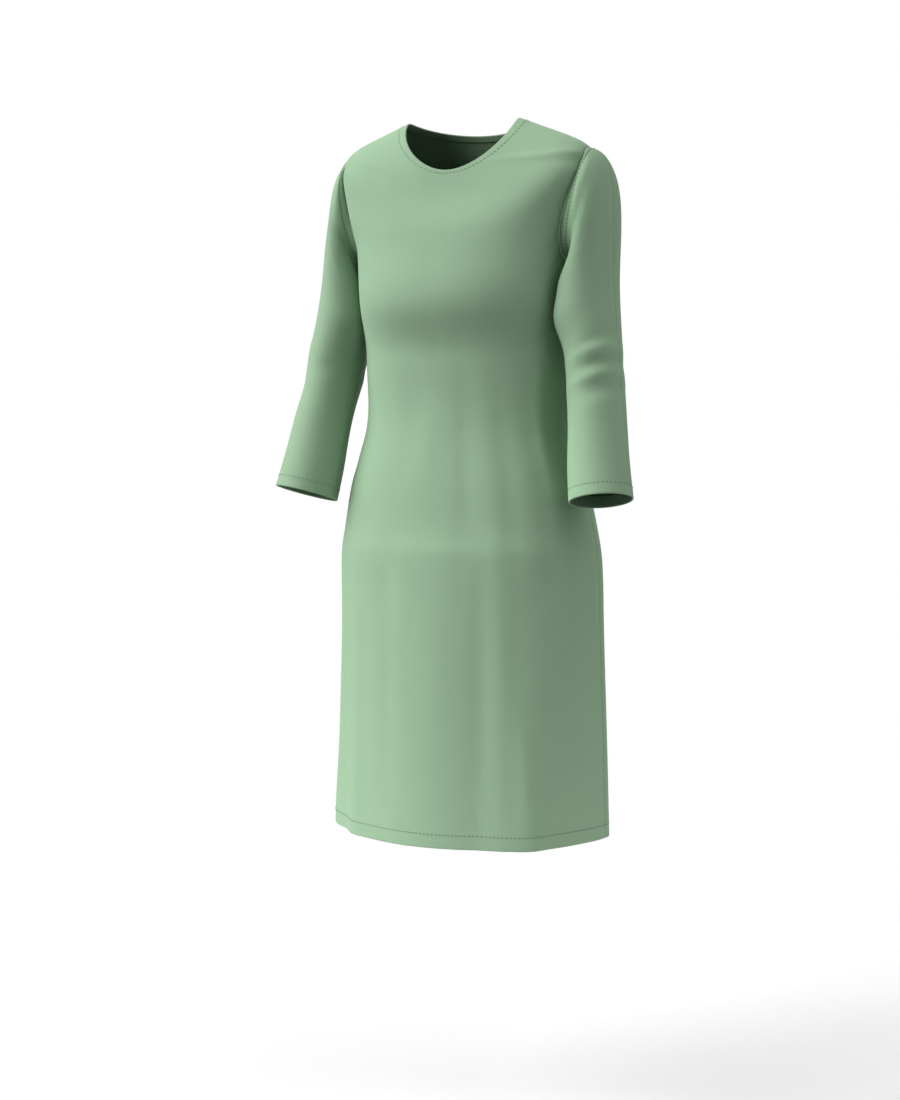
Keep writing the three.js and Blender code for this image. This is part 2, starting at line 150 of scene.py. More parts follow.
# The body of the dress, in mm. Level rings from the hem to the armpit, then rings that drop to the centre.
body = {
    "hemZ": -957,
    "armpitUp": 767,
    "shoulderTipUp": 937,
    "necklineUp": 1027,
    "levelPushBelow": 600,  # folds below this push the cloth level
    "armholeCut": {"front": 22, "back": 21.5},  # degrees
    "armholeSquareness": 2.6,
    "degreeLength": 2.6,  # of cloth in a degree, about
    "ringNames": ("up", "halfWidth", "sideY", "frontY", "backY", "squareness", "sideZ", "frontZ", "backZ",
                  "drop"),
    "rings": [
        (0, 191, 22, -133, 124, 2, -957, -957, -957, 2),
        (187, 188, 17, -130, 116, 2.03, -770, -770, -770, 2),
        (307, 186, 12, -127, 116, 2.08, -650, -650, -650, 2),
        (370, 185, 8, -124, 111, 2.1, -587, -587, -587, 2),
        (447, 174, 4, -114, 92, 2.15, -510, -510, -510, 2),
        (497, 161, 2, -106, 75, 2.15, -460, -460, -460, 2),
        (547, 145, 0, -99, 66, 2.15, -410, -410, -410, 2),
        (617, 142, -2, -100, 74, 2.2, -340, -340, -340, 2),
        (677, 142, -3, -112, 85, 2.3, -280, -280, -280, 2),
        (727, 145, -4, -126, 92, 2.35, -230, -230, -230, 2),
        (767, 149, -4, -119.5, 95, 2.35, -190, -190, -190, 2),
        (857, 166, -5, -103, 93, 2.3, -108, -143, -126, 2),
        (937, 174, -8, -84, 80, 2.3, -41, -106, -74, 1.9),
        (982, 128, -13, -77, 66, 2.3, -18, -88, -44, 1.7),
        (1027, 80, -18, -71, 50, 2.3, 0, -70, -14, 1.5),
    ],
    # Hanging folds of the skirt: angle, width in degrees, depth at the hem, height where they start
    "skirtFolds": [
        (-78, 13, 8, -560), (-72, 10, 4, -820), (-53, 5, -3.5, -800), (-46, 9, 2, -700), (-41, 6, 3, -760),
        (-14, 11, 2, -600), (20, 7, -2.5, -430), (30, 5, 2.5, -400), (42, 6, 9, -640), (71, 12, -5, -540),
        (98, 9, 3, -580), (122, 12, -6, -560), (145, 8, 5, -520), (171, 9, -4, -560), (-158, 8, 4.5, -540),
        (-122, 12, -6, -580),
    ],
    # Soft hollows and ridges: angle, width in degrees, up, length, depth
    "hollows": [
        (60, 12, 890, 34, -3), (74, 11, 905, 32, -4.5), (-74, 10, 902, 30, -3), (-50, 16, 880, 24, -2.5),
        (-6, 36, 704, 17, 3.2), (-8, 36, 655, 14, -2.6), (0, 60, 424, 22, -2), (0, 60, 380, 18, 1.5),
        (150, 16, 560, 24, 3), (-150, 16, 566, 24, 3), (165, 20, 516, 20, -2.5), (-162, 20, 520, 20, -2.5),
    ],
    # Wider forms that the worn cloth adds: angle, width in degrees, up, length, depth
    "drape": [
        (-66, 13, 850, 38, 5.5), (55, 15, 876, 40, 4.0), (56, 10, 862, 30, -1.2), (60, 5, 560, 110, 1.6),
        (76, 8, 545, 120, -5.0), (-62, 5, 560, 100, 1.0), (178, 40, 700, 26, 2.4), (182, 46, 640, 24, -3.0),
        (128, 8, 560, 90, -3.4), (-129, 8, 560, 90, -3.2),
    ],
    # Creases: angle, up, length, width, tilt in degrees, depth
    "creases": [
        (46, 980, 80, 7, -42, 1.3), (65, 945, 100, 7, -26, 1.5), (69, 920, 100, 12, -28, -2.2),
        (-54, 958, 96, 8, 24, 1.0), (-66, 930, 70, 9, 24, -1.3), (27, 430, 440, 11, 90, 0.8),
        (15, 480, 270, 12, 90, -1.8), (-14, 585, 90, 24, 90, -1.4), (-4.5, 515, 120, 20, 90, 1.6),
        (45, 470, 230, 12, 90, 0.7), (35, 480, 230, 9, 90, -1.0), (58, 520, 260, 10, 90, 1.4),
        (10, 391, 360, 9, 0, 1.1), (-22, 345, 100, 15, 90, -1.8), (-20, 190, 340, 10, 90, -1.4),
        (-40.5, 210, 460, 9, 90, 1.5), (-54, 150, 320, 7, 90, -1.1), (2, 250, 280, 18, 90, 1.1),
        (22.5, 220, 400, 10, 90, -2.0), (32, 180, 400, 8, 90, 1.1), (41, 95, 220, 6, 95, 1.4),
        (33, 90, 200, 8, 92, -0.7), (55, 355, 90, 18, 90, -2.6), (66, 790, 80, 9, 60, -1.4),
        (-64, 788, 76, 9, -58, -1.3), (70, 500, 110, 10, 20, -1.2), (-74, 505, 104, 10, -22, -1.1),
        (-80, 26, 70, 7, -64, 1.6), (150, 545, 120, 10, 12, 2.7), (-150, 552, 112, 10, -13, 2.5),
        (165, 518, 100, 9, 8, -2.9), (-163, 526, 104, 9, -9, -2.7), (180, 492, 130, 10, 0, 2.0),
        (140, 812, 90, 10, -34, -2.4), (-141, 806, 84, 10, 35, -2.2), (120, 792, 66, 8, -55, -2.0),
        (-121, 788, 62, 8, 56, -1.9), (150, 884, 90, 11, 8, 2.0), (-149, 888, 86, 11, -8, 1.9),
        (134, 470, 100, 10, -20, 2.2), (-136, 462, 96, 10, 19, 2.0), (158, 300, 280, 11, 90, 2.4),
        (-170, 280, 260, 12, 89, -2.2), (110, 260, 280, 11, 91, -1.9), (-104, 250, 260, 11, 90, 1.9),
        (-140, 330, 240, 10, 88, -2.0),
    ],
}
bodyRing = splineTable(body["ringNames"], "up", body["rings"])


def bodyBase(angle, up):
    # The plain body: a rounded-square ring pushed out by (|sin|^p + |cos|^p)^(-1/p), whose height drops from
    # the side to the centre with |cos| to a power. up is in metres.
    ring = {name: spline(up / mm) for name, spline in bodyRing.items()}
    sine, cosine = np.sin(np.radians(angle)), np.cos(np.radians(angle))
    size = np.abs(cosine)
    push = (np.abs(sine) ** ring["squareness"] + size ** ring["squareness"]) ** (-1 / ring["squareness"])
    onFront = cosine > 0
    endY = np.where(onFront, ring["frontY"], ring["backY"])
    endZ = np.where(onFront, ring["frontZ"], ring["backZ"])
    x = ring["halfWidth"] * sine * push
    y = ring["sideY"] + (endY - ring["sideY"]) * size * push
    z = ring["sideZ"] + (endZ - ring["sideZ"]) * size ** ring["drop"]
    return np.stack([x, y, z], -1) * mm


def bodyPoint(angle, up):
    # The plain body moved out by the sum of its folds and creases, each a bell across times a bell or a
    # smooth step along. Low on the dress the push lies level.
    angle, up = np.broadcast_arrays(np.asarray(angle, float), np.asarray(up, float))
    base = bodyBase(angle, up)
    moved = np.zeros(angle.shape)
    for at, width, depth, start in body["skirtFolds"]:
        grown = smoothStep(-start, -body["hemZ"], -base[..., 2] / mm)
        moved += depth * mm * grown * bell(turnBetween(at, angle), width)
    for at, width, place, length, depth in body["hollows"] + body["drape"]:
        moved += depth * mm * bell(turnBetween(at, angle), width) * bell(up / mm - place, length)
    moved += creaseHeight(body["creases"], angle, up, body["degreeLength"])
    away = outward(bodyBase, angle, up, probe["body"], probe["along"])
    away[..., 2] *= smoothStep(body["levelPushBelow"], body["armpitUp"], up / mm)
    return base + unit(away) * moved[..., None]


def armholeUp(sleeveAngle):
    # How far up the armhole is at a sleeve's angle: half a cosine from the shoulder tip to the armpit.
    share = (1 + np.cos(np.radians(sleeveAngle))) / 2
    return (body["armpitUp"] + (body["shoulderTipUp"] - body["armpitUp"]) * share) * mm


def sideLimit(up, part):
    # The angle at which a half of the body ends: 90 degrees, less the armhole's rounded-square cut.
    share = (up / mm - body["armpitUp"]) / (body["shoulderTipUp"] - body["armpitUp"])
    inside = np.clip(1 - np.abs(2 * share - 1) ** body["armholeSquareness"], 0, 1)
    return 90 - body["armholeCut"][part] * inside ** (1 / body["armholeSquareness"])


# The left sleeve, in mm. The right one is worked out as a left one too, and mirrored when its mesh is made.
sleeve = {
    "degreeLength": 0.85,  # of cloth in a degree, about
    "creaseFade": (2, 16),  # along, where creases start and where they have their full depth
    # Along, x and z of the overarm and underarm seams, y, half the depth, and its lean in degrees
    "rings": [
        (12, 182, -45, 156, -196, 5, 58, 0),
        (30, 193, -58, 158, -204, 7, 63, 0),
        (58, 202, -86, 155, -212, 7, 66, 0),
        (98, 206, -135, 152, -226, 4, 66, 2),
        (148, 208, -195, 150, -248, -2, 63, 4),
        (212, 216, -262, 154, -293, -12, 57, 8),
        (285, 229, -340, 164, -358, -27, 50, 11),
        (345, 240, -400, 169, -414, -42, 46, 13),
        (390, 248, -444, 170, -457, -53, 45, 13),
        (441, 258, -491.5, 175, -505.5, -64, 45.5, 13),
    ],
    # Broad folds of the inner front and the elbow: angle, width in degrees, along, length, depth
    "folds": [
        (135, 28, 125, 38, 10.5), (135, 28, 190, 26, 12), (150, 35, 290, 60, 5.5), (50, 34, 252, 14, 1.6),
        (50, 34, 303, 16, -2), (-120, 34, 272, 20, 2),
    ],
    # Creases: angle, along, length, width, tilt, depth
    "creases": {
        "left": [
            (45, 238, 84, 9, 8, -1.8), (62, 253, 110, 7.5, 4, 2.2), (52, 269.5, 100, 7, 4, -2.5),
            (66, 286, 110, 7.5, 6, 2.6), (45, 303, 92, 8, 7, -1.2), (60, 321, 92, 12, 8, 1.2),
            (-60, 270, 80, 10, -8, -1.4), (-66, 292, 64, 8, -6, 1.3), (14, 110, 210, 5, 90, 0.9),
            (24, 120, 170, 8, 90, -0.9), (-80, 70, 64, 9, -58, -1.2), (-40, 360, 100, 9, 88, -0.9),
            (150, 60, 50, 7, 30, -1.2), (-150, 62, 50, 7, -30, -1.3), (-110, 240, 60, 8, -14, -1.5),
            (-112, 262, 60, 8, -12, 1.4),
        ],
        "right": [
            (56, 62, 96, 46, 0, -5.5), (116, 54, 90, 42, 0, 7.0), (62, 290, 100, 160, 0, -2.0),
            (122, 290, 100, 160, 0, 3.0), (118, 262, 46, 8, -22, -1.2), (124, 284, 42, 7, -18, 0.9),
            (-62, 262, 72, 9, -9, -1.4), (-68, 284, 62, 8, -7, 1.3), (98, 90, 60, 8, 50, 0.7),
            (-78, 74, 60, 9, -56, -1.2), (150, 64, 50, 7, 32, -1.1), (-148, 60, 50, 7, -32, -1.3),
            (-112, 246, 60, 8, -13, -1.4), (-110, 266, 58, 8, -12, 1.2), (-36, 350, 110, 10, 88, -0.8),
        ],
    },
}
sleeveKnots = np.array([0] + [row[0] for row in sleeve["rings"]]) * mm
cuffAlong = sleeveKnots[-1]


def sleeveRingPoints(angle):
    # Every ring at these angles: half a cosine from seam to seam, and its depth times a sine, turned by its
    # lean.
    turned = np.radians(angle)
    points = []
    for _, overX, overZ, underX, underZ, y, halfDeep, lean in sleeve["rings"]:
        share = (1 - np.cos(turned)) / 2
        deep = halfDeep * np.sin(turned)
        slant = math.radians(lean)
        x = overX + (underX - overX) * share
        z = overZ + (underZ - overZ) * share + deep * math.sin(slant)
        points.append(np.stack([x, y - deep * math.cos(slant), z], -1) * mm)
    return np.array(points)


def armholePoint(angle, side):
    # The seam line of the armhole, on the body's own surface. The right one comes mirrored, as its sleeve is.
    up = armholeUp(angle)
    onFront = np.sin(np.radians(angle)) >= 0
    limit = np.where(onFront, sideLimit(up, "front"), 180 - sideLimit(up, "back"))
    return bodyPoint(mirrors[side][0] * limit, up) * mirrors[side]


def sleeveBase(angle, along, side):
    # A spline down each line of the sleeve, from the armhole through the rings. angle runs along the second
    # axis and is the same in every row.
    points = np.concatenate([armholePoint(angle[0], side)[None], sleeveRingPoints(angle[0])])
    lines = naturalSpline(sleeveKnots, points)
    return np.stack([lines(along[:, column])[:, column] for column in range(angle.shape[1])], 1)


def sleevePoint(angle, along, side):
    # The plain sleeve moved out by the sum of its folds and creases. The creases fade out at the armhole.
    base = sleeveBase(angle, along, side)
    moved = np.zeros(angle.shape)
    for at, width, place, length, depth in sleeve["folds"]:
        moved += depth * mm * bell(turnBetween(at, angle), width) * bell(along / mm - place, length)
    creases = creaseHeight(sleeve["creases"][side], angle, along, sleeve["degreeLength"])
    moved += creases * smoothStep(*sleeve["creaseFade"], along / mm)

    def plainPoint(first, second):
        return sleeveBase(first, second, side)

    return base + outward(plainPoint, angle, along, probe["sleeve"], probe["along"]) * moved[..., None]


print("surfaces defined")


def meshObject(name, points, faces, uv=None, inside=None):
    # points is (n, 3) in metres, faces a list of (m, corners) arrays. uv has a pair for each point, inside a
    # number.
    mesh = bpy.data.meshes.new(name)
    corners = np.concatenate([face.reshape(-1) for face in faces]).astype(np.int32)
    sizes = np.concatenate([np.full(len(face), face.shape[1]) for face in faces]).astype(np.int32)
    mesh.vertices.add(len(points))
    mesh.vertices.foreach_set("co", points.astype(np.float32).reshape(-1))
    mesh.loops.add(len(corners))
    mesh.loops.foreach_set("vertex_index", corners)
    mesh.polygons.add(len(sizes))
    mesh.polygons.foreach_set("loop_start", np.concatenate([[0], np.cumsum(sizes)[:-1]]).astype(np.int32))
    mesh.polygons.foreach_set("loop_total", sizes)
    mesh.polygons.foreach_set("use_smooth", np.ones(len(sizes), bool))
    if uv is not None:
        layer = mesh.uv_layers.new(name="cut")
        layer.data.foreach_set("uv", uv[corners].astype(np.float32).reshape(-1))
    if inside is not None:
        attribute = mesh.attributes.new("inside", "FLOAT", "POINT")
        attribute.data.foreach_set("value", inside.astype(np.float32))
    mesh.update()
    mesh.validate()
    piece = bpy.data.objects.new(name, mesh)
    bpy.context.scene.collection.objects.link(piece)
    return piece


def clothWall(name, outer, away, depth, cut, facesOut=True):
    # A closed wall of cloth: the outer grid, the same grid moved in by depth, and a half circle round the rim
    # between them. cut holds the grid's flat place on the cloth, in metres.
    rows, columns = outer.shape[:2]
    inner = outer - away * depth[..., None]
    index = np.arange(rows * columns).reshape(rows, columns)
    rim = np.concatenate([index[0, :-1], index[:-1, -1], index[-1, :0:-1], index[:0:-1, 0]])
    outerRim, innerRim = outer.reshape(-1, 3)[rim], inner.reshape(-1, 3)[rim]
    tangent = unit(np.roll(outerRim, -1, 0) - np.roll(outerRim, 1, 0))
    upwards = unit(outerRim - innerRim)
    sideways = unit(np.cross(tangent, upwards)) * (1 if facesOut else -1)
    middle = (outerRim + innerRim) / 2
    radius = np.linalg.norm(outerRim - innerRim, axis=1, keepdims=True) / 2
    turns = np.pi * np.arange(1, cloth["edgeSteps"]) / cloth["edgeSteps"]
    rounds = [middle + radius * (np.cos(turn) * upwards + np.sin(turn) * sideways) for turn in turns]
    points = np.concatenate([outer.reshape(-1, 3), inner.reshape(-1, 3)] + rounds)
    grid = np.stack([index[:-1, :-1], index[:-1, 1:], index[1:, 1:], index[1:, :-1]], -1).reshape(-1, 4)
    faces = [grid, grid[:, ::-1] + rows * columns]
    loops = [rim] + [2 * rows * columns + k * len(rim) + np.arange(len(rim)) for k in range(len(turns))]
    loops.append(rim + rows * columns)
    for near, far in zip(loops[:-1], loops[1:]):
        faces.append(np.stack([np.roll(near, -1), near, far, np.roll(far, -1)], -1))
    if not facesOut:
        faces = [face[:, ::-1] for face in faces]
    flat = cut.reshape(-1, 2)
    uv = np.concatenate([flat, flat] + [flat[rim]] * len(turns))
    # The inside number rises from the outer face round the rim to the inner face. The knit paints the cloth
    # darker by it, partly as painted shade.
    rimInside = np.repeat(turns / np.pi, len(rim))
    inside = np.concatenate([np.zeros(rows * columns), np.ones(rows * columns), rimInside])
    return meshObject(name, points, faces, uv, inside)


def pathSteps(stretches):
    # Distances from 0 up: each stretch, in mm, runs on to its end in even steps of about its size.
    marks = [0.0]
    for end, step in stretches:
        count = max(1, round((end - marks[-1]) / step))
        marks += list(np.linspace(marks[-1], end, count + 1)[1:])
    return np.array(marks) * mm


def crowdedShares(count, evenness):
    # Shares from -1 to 1 that crowd at both ends: an even run times the evenness, plus a sine times the rest.
    even = np.linspace(-1, 1, count + 1)
    return evenness * even + (1 - evenness) * np.sin(np.pi / 2 * even)


def turningDepth(distance, turning):
    # The wall's thickness: doubled up to the turning, by a smooth step.
    fade = cloth["turningFade"]
    return cloth["thickness"] * (1 + smoothStep(turning + fade, turning - fade, distance))


def rowLengths(points, middleColumn):
    # Distance along each row from its middle column.
    steps = np.linalg.norm(np.diff(points, axis=1), axis=-1)
    run = np.concatenate([np.zeros((len(points), 1)), np.cumsum(steps, 1)], 1)
    return run - run[:, middleColumn:middleColumn + 1]


def gridArea(points):
    # The area of a grid of points: each cell is two triangles, and each is half a cross product.
    first = np.cross(points[1:, :-1] - points[:-1, :-1], points[:-1, 1:] - points[:-1, :-1])
    second = np.cross(points[1:, :-1] - points[1:, 1:], points[:-1, 1:] - points[1:, 1:])
    return (np.linalg.norm(first, axis=-1).sum() + np.linalg.norm(second, axis=-1).sum()) / 2


def gridOutward(points):
    # The cross product of a grid's slopes down and across, as unit vectors.
    return unit(np.cross(np.gradient(points, axis=0), np.gradient(points, axis=1)))


def reportPanel(piece, width, outer):
    # Prints a piece's greatest width, its flat area and how many faces it has.
    widest = round(float(np.ptp(width, 1).max()), 4)
    area = round(float(gridArea(outer)), 4)
    print(piece.name, "widest", widest, "m, area", area, "m2, faces", len(piece.data.polygons))


panelGrid = {
    "columns": 120,
    "evenness": 0.12,  # 1 spaces the columns evenly, less crowds them at the seams
    # Rows from the hem up: where a stretch ends and the size of its steps, in mm
    "rows": [
        (14, 1.4), (23, 0.8), (40, 3), (540, 6.5), (760, 4.6), (776, 1.4), (925, 3.4), (940, 1.6),
        (1006, 3.2), (1021, 0.8), (1027, 1.2),
    ],
}


def bodyPanel(name, middle, part):
    # The front or the back: rows from the hem to the neck, columns from seam to seam, the last one half a
    # seam gap and an edge's radius short of the seam line. The cloth sinks in a bell at each seam and
    # sewing line.
    columns = panelGrid["columns"]
    radius = cloth["thickness"] / 2
    low, high = 2 * radius, body["necklineUp"] * mm - 2 * radius
    up = pathSteps(panelGrid["rows"])
    up = low + (high - low) * up / up[-1]
    limit = sideLimit(up, part)
    degreeLength = np.linalg.norm(bodyPoint(middle + limit, up) - bodyPoint(middle + limit - 1, up), axis=1)
    halfSpan = limit - (cloth["seamGap"] / 2 + radius) / degreeLength
    shares = crowdedShares(columns, panelGrid["evenness"])[None]
    angle = middle + shares * (90 - (90 - halfSpan)[:, None] * shares ** 2)
    up = np.repeat(up[:, None], columns + 1, 1)
    outer = bodyPoint(angle, up)
    away = outward(bodyPoint, angle, up, probe["cloth"], probe["along"])
    width = rowLengths(outer, columns // 2)
    fromSeam = width[:, -1:] - np.abs(width)
    fromNeck = body["necklineUp"] * mm - up
    dip = cloth["seamDip"] * bell(fromSeam, cloth["seamDipWidth"])
    dip += cloth["stitchDip"] * bell(up - stitchLines["hem"], cloth["stitchDipWidth"])
    dip += cloth["stitchDip"] * bell(fromNeck - stitchLines["neck"], cloth["stitchDipWidth"])
    outer = outer - away * dip[..., None]
    depth = np.maximum(turningDepth(up, turnings["hem"]), turningDepth(fromNeck, turnings["neck"]))
    depth = depth - dip * cloth["thinning"]
    piece = clothWall(name, outer, away, depth, np.stack([width, up], -1))
    reportPanel(piece, width, outer)
    return piece


sleeveGrid = {
    "columns": 56,
    "evenness": 0.14,
    "slopeStep": 0.25,  # degrees
    # Rows from the armhole down: where a stretch ends and the size of its steps, in mm
    "rows": [(12.5, 0.9), (40, 2.6), (225, 4.6), (330, 2.4), (414, 4.4), (421, 1.6), (429, 0.8), (441, 1.4)],
}


def sleeveRows(angle, along, side):
    # sleevePoint on a grid whose angles differ a little from row to row: the surface is worked out on the
    # middle row's angles and moved along itself by each row's small difference times the slope there.
    middle = np.repeat(angle[len(angle) // 2][None], len(angle), 0)
    step = sleeveGrid["slopeStep"]
    slope = (sleevePoint(middle + step, along, side) - sleevePoint(middle - step, along, side)) / (2 * step)
    return sleevePoint(middle, along, side) + slope * (angle - middle)[..., None]


def sleeveHalf(name, side, half):
    # Half a sleeve, in front (half 1) or behind (half -1) its overarm seam: rows from the armhole to the
    # cuff, columns from seam to seam, inset from both by half a seam gap and an edge's radius.
    columns = sleeveGrid["columns"]
    radius = cloth["thickness"] / 2
    low, high = cloth["seamGap"] / 2 + radius, cuffAlong - 2 * radius
    along = pathSteps(sleeveGrid["rows"])
    along = low + (high - low) * along / along[-1]
    insets = []
    for degree in (0, 179):  # the first and the last degree of the half
        pair = half * np.repeat(np.array([[degree, degree + 1.0]]), len(along), 0)
        both = sleevePoint(pair, np.repeat(along[:, None], 2, 1), side)
        degreeLength = np.linalg.norm(both[:, 1] - both[:, 0], axis=1)
        insets.append(((cloth["seamGap"] / 2 + radius) / degreeLength)[:, None])
    shares = (90 + 90 * crowdedShares(columns, sleeveGrid["evenness"]))[None] / 180
    degrees = insets[0] + (180 - insets[0] - insets[1]) * shares
    along = np.repeat(along[:, None], columns + 1, 1)
    outer = sleeveRows(degrees * half, along, side)
    away = gridOutward(outer) * (-half)
    width = rowLengths(outer, columns // 2)
    fromSeam = np.minimum(width - width[:, :1], width[:, -1:] - width)
    fromCuff = cuffAlong - along
    toSeam = np.maximum(bell(fromSeam, cloth["seamDipWidth"]), bell(along, cloth["seamDipWidth"]))
    dip = cloth["seamDip"] * toSeam
    dip += cloth["stitchDip"] * bell(fromCuff - stitchLines["cuff"], cloth["stitchDipWidth"])
    dip += cloth["armholeDip"] * bell(along - stitchLines["armhole"], cloth["armholeDipWidth"])
    outer = outer - away * dip[..., None]
    depth = turningDepth(fromCuff, turnings["cuff"]) - dip * cloth["thinning"]
    facesOut = (half > 0) == (side == "left")
    cut = np.stack([width, -along], -1)
    piece = clothWall(name, outer * mirrors[side], away * mirrors[side], depth, cut, facesOut)
    reportPanel(piece, width, outer)
    return piece


front = bodyPanel("dressFront", 0, "front")
back = bodyPanel("dressBack", 180, "back")
sleeves = {}
for side in ("left", "right"):
    for part, half in (("front", 1), ("back", -1)):
        sleeves[side, part] = sleeveHalf(f"{side}Sleeve{part.capitalize()}", side, half)
print("panels made")


# Topstitching: short bowed threads along a line on the cloth.
thread = {
    "pitch": 5.6 * mm,
    "length": 2.6 * mm,
    "radius": 0.52 * mm,
    "sink": 0.24 * mm,  # how deep the underside of a thread lies in the cloth
    "taper": 0.12,  # the share of a half wave that each end leaves out
    "sides": 6,
    "rings": 5,
}


def stitchRow(name, line, away):
    # line and away are (n, 3): the path on the cloth and its outward directions. Stitches are set at even
    # distances along it, each a small tube whose radius and height swell as a half sine.
    sides, rings = thread["sides"], thread["rings"]
    run = np.concatenate([[0], np.cumsum(np.linalg.norm(np.diff(line, axis=0), axis=1))])
    count = int((run[-1] - thread["length"]) / thread["pitch"])
    margin = (run[-1] - (count - 1) * thread["pitch"] - thread["length"]) / 2
    share = np.linspace(0, 1, rings)
    where = margin + np.arange(count)[:, None] * thread["pitch"] + thread["length"] * share[None]
    centre = np.stack([np.interp(where, run, line[:, k]) for k in range(3)], -1)
    upwards = unit(np.stack([np.interp(where, run, away[:, k]) for k in range(3)], -1))
    forward = unit(centre[:, -1:] - centre[:, :1])
    sideways = unit(np.cross(forward, upwards))
    swell = np.sin(np.pi * (thread["taper"] + (1 - 2 * thread["taper"]) * share))[None, :, None]
    centre = centre + upwards * (thread["radius"] * swell - thread["sink"])
    turn = (2 * np.pi * np.arange(sides) / sides)[:, None]
    ring = np.cos(turn) * upwards[:, :, None] + np.sin(turn) * sideways[:, :, None]
    points = centre[:, :, None] + thread["radius"] * swell[..., None] * ring
    index = np.arange(count * rings * sides).reshape(count, rings, sides)
    low, high = index[:, :-1], index[:, 1:]
    tube = np.stack([low, np.roll(low, -1, 2), np.roll(high, -1, 2), high], -1).reshape(-1, 4)
    caps = np.concatenate([index[:, 0, ::-1], index[:, -1]])
    return meshObject(name, points.reshape(-1, 3), [tube, caps])


def bodyStitches(name, up):
    # All round the body at a distance up from the hem.
    angle = np.linspace(-180, 180, 721)
    away = outward(bodyPoint, angle, up, probe["cloth"], probe["along"])
    return stitchRow(name, bodyPoint(angle, up), away)


def sleeveStitches(name, side, along):
    # All round a sleeve. Outwards is the cross product of its slopes along and round, turned from the middle.
    angle = np.linspace(-180, 180, 361)[None]
    along = np.full(angle.shape, along)
    line = sleevePoint(angle, along, side)[0]
    ahead = sleevePoint(angle, along + probe["along"], side)[0] - line
    away = unit(np.cross(ahead, np.gradient(line, axis=0)))
    away *= np.sign((away * (line - line.mean(0))).sum())
    return stitchRow(name, line * mirrors[side], away * mirrors[side])


stitches = {
    "neck": bodyStitches("neckStitches", body["necklineUp"] * mm - stitchLines["neck"]),
    "hem": bodyStitches("hemStitches", stitchLines["hem"]),
}
for side in ("left", "right"):
    stitches[side + "Cuff"] = sleeveStitches(side + "CuffStitches", side, cuffAlong - stitchLines["cuff"])
    stitches[side + "Armhole"] = sleeveStitches(side + "ArmholeStitches", side, stitchLines["armhole"])
print("stitches made")


class Value:
    # Wraps a shader socket so that sums read as Python expressions; each operator adds a Math node.
    def __init__(self, tree, socket):
        self.tree = tree
        self.socket = socket

    def math(self, operation, other=None):
        # This value, or this one and another, through a Math node.
        node = self.tree.nodes.new("ShaderNodeMath")
        node.operation = operation
        for slot, given in enumerate((self, other)):
            if isinstance(given, Value):
                self.tree.links.new(given.socket, node.inputs[slot])
            elif given is not None:
                node.inputs[slot].default_value = given
        return Value(self.tree, node.outputs[0])

    def reflected(self, operation, other):
        # A number first and this value second, as in 1 - mask.
        start = self.tree.nodes.new("ShaderNodeValue")
        start.outputs[0].default_value = other
        return Value(self.tree, start.outputs[0]).math(operation, self)

    def __add__(self, other):
        return self.math("ADD", other)

    def __radd__(self, other):
        return self.math("ADD", other)

    def __sub__(self, other):
        return self.math("SUBTRACT", other)

    def __rsub__(self, other):
        return self.reflected("SUBTRACT", other)

    def __mul__(self, other):
        return self.math("MULTIPLY", other)

    def __rmul__(self, other):
        return self.math("MULTIPLY", other)

    def __truediv__(self, other):
        return self.math("DIVIDE", other)

    def __rtruediv__(self, other):
        return self.reflected("DIVIDE", other)

    def __pow__(self, other):
        return self.math("POWER", other)


class Shader:
    # The nodes of one material or world.
    def __init__(self, owner):
        owner.use_nodes = True
        self.owner = owner
        self.tree = owner.node_tree
        self.tree.nodes.clear()

    def node(self, kind, settings=None, inputs=None):
        # Adds a node of a type: its settings first, then the values or links of its sockets. Returns its
        # outputs.
        made = self.tree.nodes.new("ShaderNode" + kind)
        for name, setting in (settings or {}).items():
            setattr(made, name, setting)
        for name, given in (inputs or {}).items():
            if isinstance(given, Value):
                self.tree.links.new(given.socket, made.inputs[name])
            else:
                made.inputs[name].default_value = given
        return [Value(self.tree, socket) for socket in made.outputs]

    def noise(self, place, scale, detail, roughness=0.5):
        # A noise with values from about 0 to 1. scale is how many waves there are in a metre.
        inputs = {"Vector": place, "Scale": scale, "Detail": detail, "Roughness": roughness}
        return self.node("TexNoise", {}, inputs)[0]

    def mixColor(self, share, low, high):
        # low times one less the share, plus high times the share. A Mix node's colours are its inputs 6 and 7
        # and its output 2.
        return self.node("Mix", {"data_type": "RGBA"}, {"Factor": share, 6: low, 7: high})[2]

    def objectPlace(self):
        # Object coordinates, which are metres here.
        return self.node("TexCoord")[3]

    def surface(self, inputs):
        # Ends a material in one Principled shader.
        shade = self.node("BsdfPrincipled", {}, inputs)[0]
        self.node("OutputMaterial", {}, {"Surface": shade})
        return self.owner


def limited(value):
    # The value, or 0 or 1 where it is past them.
    return value.math("MINIMUM", 1.0).math("MAXIMUM", 0.0)


knit = {
    "light": (0.327, 0.497, 0.323, 1),
    "dark": (0.292, 0.452, 0.289, 1),
    "inside": 0.6,  # how bright the wrong side and its rim are, as a share of the right side: partly the reverse knit, partly painted shade
    "insidePower": 0.7,  # how soon the darker wrong side and its painted shade begin round an edge
    "waleWidth": 1.15 * mm,
    "courseHeight": 0.85 * mm,
    "loopLean": 0.6,  # how far the two legs of a loop slant, in courses
    "columnLow": 0.35,  # how high the knit is between two columns of loops
    "fuzz": {"scale": 900, "detail": 3},
    "mottle": {"scale": 38, "detail": 4, "roughness": 0.6},
    "broad": {"scale": 5, "detail": 2},
    "toneShares": {"mottle": 0.45, "broad": 0.35, "stitch": 0.2},
    "bumpShares": {"stitch": 0.75, "fuzz": 0.35},
    "bump": 0.24 * mm,
    "bumpStrength": 0.8,
    "roughness": (0.78, 0.14),  # the least, and what the mottling adds
    "sheen": 0.06,
    "sheenRoughness": 0.5,
    "specular": 0.25,
}


